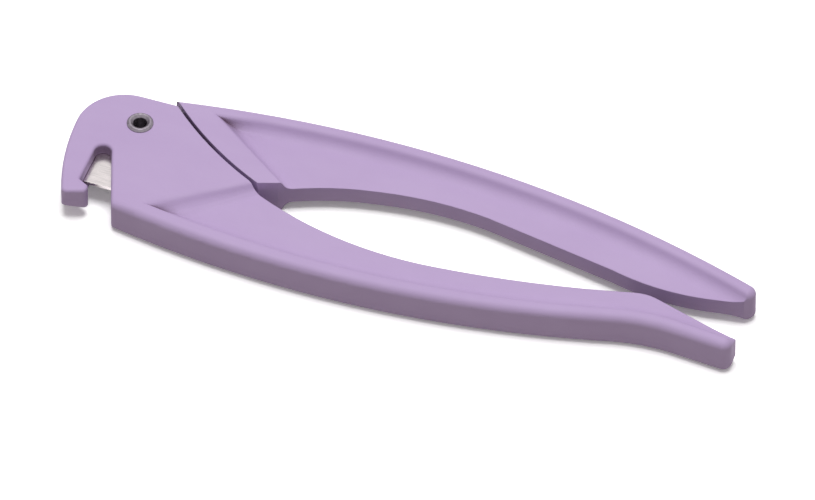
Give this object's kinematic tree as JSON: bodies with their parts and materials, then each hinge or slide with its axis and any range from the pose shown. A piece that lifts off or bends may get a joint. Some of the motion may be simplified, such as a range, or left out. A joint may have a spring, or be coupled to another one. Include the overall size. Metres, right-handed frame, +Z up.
{
  "type": "umbilical clamp clipper",
  "caption": "Plier-like hand clipper with a hooked jaw, a swinging steel blade in its notch, rimmed plastic grips and a hollow pivot rivet.",
  "frame": {"origin": "foot of the pivot's axis, on the flat face that the tool lies on", "axes": "+X along the tool towards the handle ends, +Y across it towards the lever handle, +Z up along the pivot"},
  "size_m": [0.1708, 0.0472, 0.0102],
  "materials": {
    "handle_plastic": "satin moulded plastic, lilac",
    "blade_steel": "ground stainless steel",
    "pin_steel": "plain steel",
    "eyelet_metal": "nickel-plated"
  },
  "bodies": {
    "fixed_handle": {"lower_handle": "handle_plastic", "pivot_eyelet": "eyelet_metal", "pivot_washer": "eyelet_metal"},
    "lever": {"upper_handle": "handle_plastic", "blade": "blade_steel", "blade_pin": "pin_steel"}
  },
  "joints": [
    {"name": "lever_pivot", "type": "hinge", "parent": "fixed_handle", "child": "lever", "pos_m": [0, 0, 0.00475], "axis": [0, 0, 1], "range_deg": [0, 28]}
  ]
}
